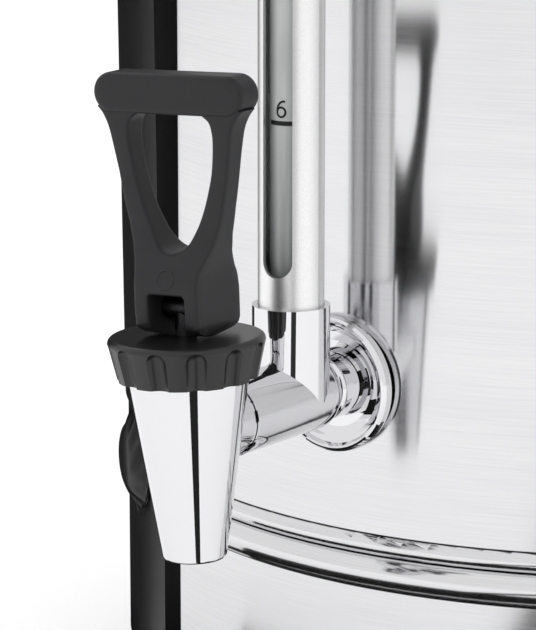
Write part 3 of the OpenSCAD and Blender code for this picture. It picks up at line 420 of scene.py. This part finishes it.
def insetLoop(loop, depth):
    # the loop moved to its left by a depth, mitred
    moved = []
    for i, point in enumerate(loop):
        a, b = (point - loop[i - 1]).normalized(), (loop[(i + 1) % len(loop)] - point).normalized()
        normal = Vector((-a.y - b.y, a.x + b.x))
        normal = normal.normalized() if normal.length > 1e-6 else Vector((-a.y, a.x))
        moved.append(point + normal * depth / max(0.5, normal.dot(Vector((-a.y, a.x)))))
    return moved


def insideLoop(point, loop):
    inside = False
    for a, b in zip(loop, loop[1:] + loop[:1]):
        crosses = (a.y > point.y) != (b.y > point.y)
        if crosses and point.x < a.x + (point.y - a.y) / (b.y - a.y) * (b.x - a.x):
            inside = not inside
    return inside


def roundedSlab(shape, loops, front, back, rounding, lift, cell=2.2, clear=0.6, wallRows=8):
    # a slab with rounded edges between two depth profiles; loops[0] is the outline, the rest are holes
    corner = [(rounding * (1 - math.sin(math.radians(a))), rounding * (1 - math.cos(math.radians(a))))
              for a in (0, 22.5, 45, 67.5, 90)]
    rows = [(inset, depth, 0.0) for inset, depth in corner]
    rows += [(0.0, rounding, k / wallRows) for k in range(1, wallRows)]
    rows += [(inset, depth, 1.0) for inset, depth in reversed(corner)]

    def vertex(point, depth, share):
        x, h = point
        low, high = front(h) + depth, back(h) - depth
        return shape.verts.new(lift(x, low + (high - low) * share, h))

    # the rounded edges and the walls between them
    flat, edges, owners = [], [], []
    capLoops = [insetLoop(loop, rounding) for loop in loops]
    for loop, capLoop in zip(loops, capLoops):
        rings = [[vertex(p, depth, share) for p in insetLoop(loop, inset)] for inset, depth, share in rows]
        for ringA, ringB in zip(rings, rings[1:]):
            for i in range(len(loop)):
                k = (i + 1) % len(loop)
                shape.faces.new((ringA[i], ringB[i], ringB[k], ringA[k]))
        start = len(flat)
        flat += capLoop
        owners += list(zip(rings[0], rings[-1]))
        edges += [(start + i, start + (i + 1) % len(loop)) for i in range(len(loop))]

    # the two flat caps, triangulated with points inside so that they follow the profiles
    outline, holes = capLoops[0], capLoops[1:]
    border = list(flat)

    def solid(point):
        return insideLoop(point, outline) and not any(insideLoop(point, hole) for hole in holes)

    lowX, highX = min(p.x for p in outline), max(p.x for p in outline)
    lowY, highY = min(p.y for p in outline), max(p.y for p in outline)
    for i in range(int((highX - lowX) / cell) + 1):
        for j in range(int((highY - lowY) / cell) + 1):
            point = Vector((lowX + (i + 0.5) * cell, lowY + (j + 0.5) * cell))
            if solid(point) and min((point - q).length for q in border) > cell * clear:
                flat.append(point)
    verts, _, faces, source, _, _ = delaunay_2d_cdt(flat, edges, [], 0, 1e-7)
    faces = [face for face in faces if solid(sum((verts[i] for i in face), Vector((0, 0))) / len(face))]
    made = {}

    def capVertex(i, side):
        first = min(source[i]) if source[i] else None
        if first is not None and first < len(owners):
            return owners[first][side]
        if (i, side) not in made:
            made[i, side] = vertex(verts[i], 0.0, side)
        return made[i, side]

    for side in (0, 1):
        for face in faces:
            shape.faces.new([capVertex(i, side) for i in face])


def roundMark(shape, lift):
    # a thin ring on the block's front
    steps, sides, tube = lever["markSteps"], lever["markSides"], lever["markTube"]
    rings = []
    for i in range(steps):
        a = 2 * math.pi * i / steps
        ring = []
        for k in range(sides):
            b = 2 * math.pi * k / sides
            reach = lever["markRadius"] + tube * math.cos(b)
            h = lever["markHeight"] + reach * math.sin(a)
            y = follow(lever["front"], h) + tube * lever["markFlat"] * math.sin(b)
            ring.append(shape.verts.new(lift(reach * math.cos(a), y, h)))
        rings.append(ring)
    for ring, following in zip(rings, rings[1:] + rings[:1]):
        for k in range(sides):
            n = (k + 1) % sides
            shape.faces.new((ring[k], following[k], following[n], ring[n]))


def leverPiece():
    place = (Matrix.Translation((0, 0, lever["tapHeight"] * mm))
             @ Matrix.Rotation(math.radians(-lever["lean"]), 4, "Y")
             @ Matrix.Translation((0, -lever["tapRadius"] * mm, lever["pinHeight"] * mm))
             @ Matrix.Rotation(math.radians(lever["yaw"]), 4, "Z"))

    def lift(x, y, h):
        # the foot rocks on a curve, tight in front and flatter behind
        reach = lever["rockFront"] if y < 0 else lever["rockBack"]
        foot = reach - math.sqrt(max(reach ** 2 - y ** 2, 0))
        h = max(h, foot) if h < lever["rockTop"] else h
        return place @ (Vector((x, y, h - lever["footToPin"])) * mm)

    # the legs and the block in one, with the finger's hole and the fork's notch
    shape = bmesh.new()
    half, top, cut = lever["notchHalf"], lever["notchTop"], lever["notchCut"]
    notch = [(half - cut, top), (half, top - cut), (half, lever["notchMiddle"]), (half, lever["soleHeight"])]
    side = [Vector(p) for p in (*notch, *lever["sole"])] + smoothLine(lever["outer"])
    outline = side + [Vector((0, lever["top"]))] + mirrored(side) + [Vector((0, top))]
    holeSide = smoothLine(lever["hole"])
    hole = holeSide + [Vector((0, lever["holeTop"]))] + mirrored(holeSide[1:])
    hole.reverse()
    roundedSlab(shape, [outline, hole], lambda h: follow(lever["front"], h),
                lambda h: follow(lever["back"], h), lever["round"], lift)

    # the bar, a stadium a little proud of the legs
    radius = (lever["barHigh"] - lever["barLow"]) / 2
    middle, centre = lever["barHalf"] - radius, lever["barLow"] + radius
    bar = [Vector(p) for p in arc(middle, centre, radius, radius, -90, 90, 30)
           + arc(-middle, centre, radius, radius, 90, 270, 30)]
    roundedSlab(shape, [bar], lambda h: lever["barFront"], lambda h: lever["barBack"], lever["barRound"], lift)

    # the wall behind the stem closes the fork's back
    wall = [Vector(p) for p in lever["wall"]]
    roundedSlab(shape, [wall], lambda h: lever["wallFront"], lambda h: lever["wallBack"], lever["wallRound"],
                lift)
    roundMark(shape, lift)
    piece = addPiece("leverMoulding", shape, "leverAbs", "lever", 50)
    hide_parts("lever")


knob = {                                        # on the column, in millimetres; azimuth and twist in degrees
    "azimuth": -39.0, "height": 83.4, "seat": 156.3, "radius": 16.4, "rise": 6.4, "edge": 0.9,
    "edgeCut": 0.3, "fullness": 2.3, "rings": 24, "around": 126,
    "flutes": 9, "fluteDepth": 0.75, "fluteFrom": 9.0, "fluteFade": 4.0, "fluteLow": 1.0, "twist": 60.0,
    "dimple": 0.4, "dimpleRadius": 8.0,
}


def knobPiece():
    # a low dome with soft swirled grips round a shallow dished face
    shape = bmesh.new()
    place = Matrix.Rotation(math.radians(knob["azimuth"]), 4, "Z") @ Matrix.Translation(
        (0, -knob["seat"] * mm, knob["height"] * mm)) @ Matrix.Rotation(math.radians(90), 4, "X")
    radius, edge, around = knob["radius"], knob["edge"], knob["around"]
    profile = [(radius - knob["edgeCut"], 0.0), (radius, knob["edgeCut"]), (radius, edge)]
    for i in range(1, knob["rings"] + 1):
        reach = radius * (1 - i / knob["rings"])
        rise = edge + (knob["rise"] - edge) * (1 - (reach / radius) ** knob["fullness"])
        profile.append((reach, rise - knob["dimple"] * max(0.0, 1 - (reach / knob["dimpleRadius"]) ** 2)))

    def fluteDepth(reach, rise, angle):
        if rise <= knob["fluteLow"]:
            return 0.0
        weight = max(0.0, min(1.0, (reach - knob["fluteFrom"]) / knob["fluteFade"]))
        swirl = math.radians(knob["twist"]) * (1 - reach / radius)
        return knob["fluteDepth"] * weight * (0.5 - 0.5 * math.cos(knob["flutes"] * (angle + swirl)))

    angles = [2 * math.pi * k / around for k in range(around)]
    rings = [[shape.verts.new(place @ (Vector((
        reach * math.cos(a), reach * math.sin(a), rise - fluteDepth(reach, rise, a))) * mm)) for a in angles]
        for reach, rise in profile[:-1]]
    for a, b in zip(rings, rings[1:]):
        for k in range(around):
            n = (k + 1) % around
            shape.faces.new((a[k], a[n], b[n], b[k]))
    crown = shape.verts.new(place @ (Vector((0, 0, profile[-1][1])) * mm))
    foot = shape.verts.new(place @ Vector((0, 0, 0)))
    for k in range(around):
        n = (k + 1) % around
        shape.faces.new((rings[-1][k], rings[-1][n], crown))
        shape.faces.new((rings[0][n], rings[0][k], foot))
    piece = addPiece("knobMoulding", shape, "columnAbs", "knob", 50)
    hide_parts("thermostat_knob")


leverPiece()
knobPiece()
gaugeScale()
print("stage: pieces made")


studio = {                                      # metres, degrees from the tap's side towards +X, watts
    "floorHalf": 14.0, "floorColour": "#F4F4F4", "floorRoughness": 0.9, "floorGlow": 0.36,
    "fill": 0.62,                               # the world's strength on matte surfaces
    "lights": (                                 # name, place, aim, size, watts
        ("softboxLeft", (-1.5, -1.9, 1.9), (0, -0.1, 0.2), 1.4, 14),
        ("softboxRight", (1.9, -1.3, 1.6), (0, -0.1, 0.2), 1.4, 10),
        ("softboxTop", (0.0, 0.5, 2.6), (0, 0, 0.3), 1.8, 12),
    ),
    # painted dark reflections: the tone and steps of black sheets that only reflections see
    "darkReflection": "#050505", "darkReflectionSteps": 12,
    "flags": (                                  # lying: name, middle, radii, azimuths, height
        ("floorNearBase", (0, 0), (0.158, 0.25), (-38, 28), 0.001),
        ("floorNearBaseLeft", (0, 0), (0.158, 0.19), (-75, -38), 0.001),
        ("floorTowardsCamera", (0, -0.2), (0.05, 1.9), (38, 53), 0.001),
        ("floorBehindColumn", (-0.1, -0.12), (0.03, 2.6), (-160, -97), 0.001),
        ("overhead", (0, 0), (0.0, 0.5), (0, 360), 2.0),
    ),
    "panels": (                                 # upright: name, middle, radius, azimuths, heights
        ("panelTowardsCamera", (0, -0.2), 1.9, (38, 53), (0.0, 1.1)),
        ("panelBehindColumn", (-0.1, -0.12), 2.6, (-160, -97), (0.0, 1.6)),
    ),
}


def stageMesh(name, points, faces, material):
    mesh = bpy.data.meshes.new(name)
    mesh.from_pydata(points, [], faces)
    mesh.materials.append(material)
    thing = bpy.data.objects.new(name, mesh)
    bpy.context.scene.collection.objects.link(thing)
    return thing


def whiteForLooking(tree):
    # one where a ray comes from the camera, a mirror or the glass
    path = addNode(tree, "ShaderNodeLightPath")
    seen = addNode(tree, "ShaderNodeMath", {
        0: path.outputs["Is Camera Ray"], 1: path.outputs["Is Glossy Ray"]}, operation="MAXIMUM")
    return addNode(tree, "ShaderNodeMath", {
        0: seen.outputs[0], 1: path.outputs["Is Transmission Ray"]}, operation="MAXIMUM").outputs[0]


def buildFloor():
    material, tree, shader = newMaterial("paleFloor", studio["floorColour"], studio["floorRoughness"])
    glow = addNode(tree, "ShaderNodeMath", {0: whiteForLooking(tree), 1: studio["floorGlow"]},
                   operation="MULTIPLY")
    setInputs(tree, shader, {"Emission Color": (1, 1, 1, 1), "Emission Strength": glow.outputs[0]})
    half = studio["floorHalf"]
    stageMesh("floor", [(-half, -half, 0), (half, -half, 0), (half, half, 0), (-half, half, 0)],
              [(0, 1, 2, 3)], material)


def buildLight():
    world = bpy.data.worlds.new("studioWorld")
    bpy.context.scene.world = world
    world.use_nodes = True
    tree = world.node_tree
    background = tree.nodes["Background"]
    strength = addNode(tree, "ShaderNodeMapRange", {
        "Value": whiteForLooking(tree), "To Min": studio["fill"], "To Max": 1.0})
    setInputs(tree, background, {"Color": (1, 1, 1, 1), "Strength": strength.outputs["Result"]})
    for name, place, aim, size, watts in studio["lights"]:
        lamp = bpy.data.lights.new(name, "AREA")
        lamp.shape, lamp.size, lamp.energy = "DISK", size, watts
        light = bpy.data.objects.new(name, lamp)
        bpy.context.scene.collection.objects.link(light)
        light.location = place
        light.visible_glossy = False
        light.rotation_euler = (Vector(aim) - Vector(place)).to_track_quat("-Z", "Y").to_euler()


def buildDarkReflections():
    # painted dark reflections: black sheets that only reflections see, laid on the floor round the base and
    # towards the camera, hung behind the column and over the urn
    darkReflection = newMaterial("blackReflectionOnlyFlag", studio["darkReflection"], 1.0)[0]
    steps = studio["darkReflectionSteps"]

    def edge(middle, reach, azimuths, z):
        angles = [math.radians(azimuths[0] + (azimuths[1] - azimuths[0]) * i / steps) for i in range(steps + 1)]
        return [(middle[0] + reach * math.sin(a), middle[1] - reach * math.cos(a), z) for a in angles]

    def hang(name, low, high):
        flag = stageMesh(name, low + high, [(i, i + 1, steps + 2 + i, steps + 1 + i) for i in range(steps)],
                         darkReflection)
        flag.visible_camera = flag.visible_diffuse = False
        flag.visible_shadow = flag.visible_transmission = False

    for name, middle, radii, azimuths, z in studio["flags"]:
        hang(name, *(edge(middle, reach, azimuths, z) for reach in radii))
    for name, middle, radius, azimuths, heights in studio["panels"]:
        hang(name, *(edge(middle, radius, azimuths, z) for z in heights))


photoCamera = {                                 # fitted to the photograph's edges; metres and degrees
    "place": (0.52601, -0.89303, 0.35212), "pan": 36.61, "pitch": 12.63,
    "focalPixels": 3200, "picturePixels": 630, "sensor": 36.0, "clip": (0.05, 60),
}


def buildCamera():
    pan, pitch = math.radians(photoCamera["pan"]), math.radians(photoCamera["pitch"])
    data = bpy.data.cameras.new("photoCamera")
    data.sensor_fit = "AUTO"
    data.sensor_width = photoCamera["sensor"]
    data.lens = photoCamera["focalPixels"] / photoCamera["picturePixels"] * photoCamera["sensor"]
    data.clip_start, data.clip_end = photoCamera["clip"]
    camera = bpy.data.objects.new("photoCamera", data)
    bpy.context.scene.collection.objects.link(camera)
    camera.location = photoCamera["place"]
    forward = Vector((-math.sin(pan) * math.cos(pitch), math.cos(pan) * math.cos(pitch), -math.sin(pitch)))
    camera.rotation_euler = forward.to_track_quat("-Z", "Y").to_euler()
    bpy.context.scene.camera = camera


buildFloor()
buildLight()
buildDarkReflections()
buildCamera()
nodes["control_column"].visible_glossy = False  # the photographed sheet shows almost no image of its side
bpy.context.scene.view_settings.view_transform = "Standard"
print("stage: studio and camera")
